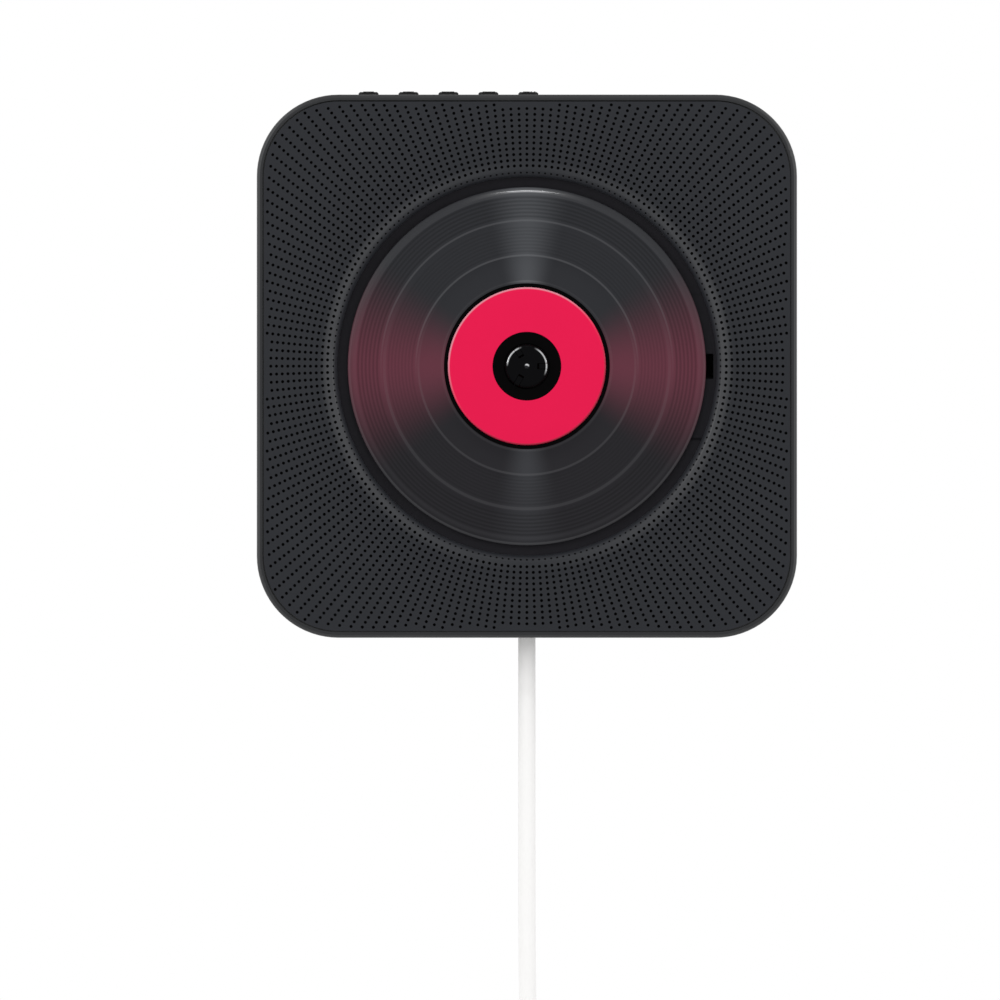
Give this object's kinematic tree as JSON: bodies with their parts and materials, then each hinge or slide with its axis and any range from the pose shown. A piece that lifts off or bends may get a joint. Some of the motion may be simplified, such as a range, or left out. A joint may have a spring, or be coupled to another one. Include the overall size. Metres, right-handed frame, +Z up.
{
  "type": "wall mounted cd player",
  "caption": "Flat rounded-square player that hangs on a wall bracket, with a sunken disc well in a perforated front, keys on top and a white pull cord.",
  "frame": {"origin": "centre of the wall bracket's rear face, on the wall plane and on the disc's axis", "axes": "+X right and +Z up as seen from the room, +Y into the wall, so the front faces -Y"},
  "size_m": [0.181, 0.04, 0.443],
  "materials": {
    "case_plastic": "fine matt charcoal",
    "panel_plastic": "fine matt charcoal, perforated",
    "deck_plastic": "matt black",
    "key_plastic": "matt black",
    "hub_plastic": "polished black",
    "disc_plastic": "grooved black",
    "label_print": "glossy pink-red",
    "bright_steel": "ground",
    "zinc_steel": "zinc plated",
    "black_rubber": "matt",
    "board_laminate": "green lacquer",
    "chip_epoxy": "matt black",
    "lens_glass": "coated",
    "cone_paper": "pressed paper",
    "ferrite": "ferrite",
    "cord_jacket": "smooth white",
    "tie_band": "soft white"
  },
  "bodies": {
    "bracket": {"wall_bracket": "zinc_steel"},
    "player": {"outer_frame": "case_plastic", "front_panel": "panel_plastic", "rear_cover": "case_plastic", "rear_screws": "zinc_steel", "rubber_pads": "black_rubber", "deck_plate": "deck_plastic", "deck_screws": "zinc_steel", "mechanism_cover": "deck_plastic", "mechanism_chassis": "zinc_steel", "damper_bushes": "black_rubber", "mechanism_screws": "zinc_steel", "spindle_motor": "zinc_steel", "guide_rods": "bright_steel", "sled_motor": "zinc_steel", "speaker_frames": "deck_plastic", "speaker_cones": "cone_paper", "speaker_magnets": "ferrite", "key_board": "board_laminate", "key_switches": "chip_epoxy", "main_board": "board_laminate", "board_components": "chip_epoxy", "headphone_jack": "deck_plastic", "cord_bushing": "deck_plastic", "pull_spring": "bright_steel", "pull_switch": "chip_epoxy"},
    "spindle": {"turntable": "hub_plastic", "spindle_shaft": "bright_steel"},
    "catch_1": {"hub_catch_1": "hub_plastic"},
    "catch_2": {"hub_catch_2": "hub_plastic"},
    "catch_3": {"hub_catch_3": "hub_plastic"},
    "disc": {"compact_disc": "disc_plastic", "disc_label": "label_print"},
    "sled": {"pickup_sled": "deck_plastic"},
    "screw": {"lead_screw": "bright_steel"},
    "lens": {"lens_holder": "deck_plastic", "objective_lens": "lens_glass"},
    "key_volume_down_cap": {"key_volume_down": "key_plastic"},
    "key_volume_up_cap": {"key_volume_up": "key_plastic"},
    "key_previous_cap": {"key_previous": "key_plastic"},
    "key_next_cap": {"key_next": "key_plastic"},
    "key_play_cap": {"key_play": "key_plastic"},
    "pull": {"pull_slider": "deck_plastic", "cord_drop": "cord_jacket", "cord_coil": "cord_jacket", "cord_tail": "cord_jacket", "cord_tie": "tie_band", "plug_body": "cord_jacket", "plug_shell": "bright_steel"}
  },
  "joints": [
    {"name": "lift_off_bracket", "type": "slide", "parent": "bracket", "child": "player", "axis": [0, 0, 1], "range_m": [0, 0.008]},
    {"name": "spindle_spin", "type": "hinge", "parent": "player", "child": "spindle", "pos_m": [0, -0.0353, 0], "axis": [0, -1, 0], "continuous": true},
    {"name": "disc_off_hub", "type": "slide", "parent": "spindle", "child": "disc", "axis": [0, -1, 0], "range_m": [0, 0.02]},
    {"name": "sled_travel", "type": "slide", "parent": "player", "child": "sled", "axis": [1, 0, 0], "range_m": [0, 0.035]},
    {"name": "lead_screw_turn", "type": "hinge", "parent": "player", "child": "screw", "pos_m": [0.0445, -0.0215, -0.028], "axis": [1, 0, 0], "range_deg": [-5, 4205]},
    {"name": "lens_focus", "type": "slide", "parent": "sled", "child": "lens", "axis": [0, -1, 0], "range_m": [-0.0006, 0.0006], "stiffness_N_per_m": 60},
    {"name": "catch_1_push", "type": "slide", "parent": "spindle", "child": "catch_1", "axis": [-1, 0, 0], "range_m": [0, 0.0005], "stiffness_N_per_m": 300, "springref_m": -0.0005},
    {"name": "catch_2_push", "type": "slide", "parent": "spindle", "child": "catch_2", "axis": [0.5, 0, -0.866], "range_m": [0, 0.0005], "stiffness_N_per_m": 300, "springref_m": -0.0005},
    {"name": "catch_3_push", "type": "slide", "parent": "spindle", "child": "catch_3", "axis": [0.5, 0, 0.866], "range_m": [0, 0.0005], "stiffness_N_per_m": 300, "springref_m": -0.0005},
    {"name": "press_volume_down", "type": "slide", "parent": "player", "child": "key_volume_down_cap", "axis": [0, 0, -1], "range_m": [0, 0.0007], "stiffness_N_per_m": 700, "springref_m": -0.0007},
    {"name": "press_volume_up", "type": "slide", "parent": "player", "child": "key_volume_up_cap", "axis": [0, 0, -1], "range_m": [0, 0.0007], "stiffness_N_per_m": 700, "springref_m": -0.0007},
    {"name": "press_previous", "type": "slide", "parent": "player", "child": "key_previous_cap", "axis": [0, 0, -1], "range_m": [0, 0.0007], "stiffness_N_per_m": 700, "springref_m": -0.0007},
    {"name": "press_next", "type": "slide", "parent": "player", "child": "key_next_cap", "axis": [0, 0, -1], "range_m": [0, 0.0007], "stiffness_N_per_m": 700, "springref_m": -0.0007},
    {"name": "press_play", "type": "slide", "parent": "player", "child": "key_play_cap", "axis": [0, 0, -1], "range_m": [0, 0.0007], "stiffness_N_per_m": 700, "springref_m": -0.0007},
    {"name": "cord_pull", "type": "slide", "parent": "player", "child": "pull", "axis": [0, 0, -1], "range_m": [0, 0.005], "stiffness_N_per_m": 600, "springref_m": -0.004, "deforming": ["pull_spring"]}
  ],
  "couplings": [
    {"joint": "lead_screw_turn", "follows": "sled_travel", "rad_per_m": 2094.4}
  ]
}
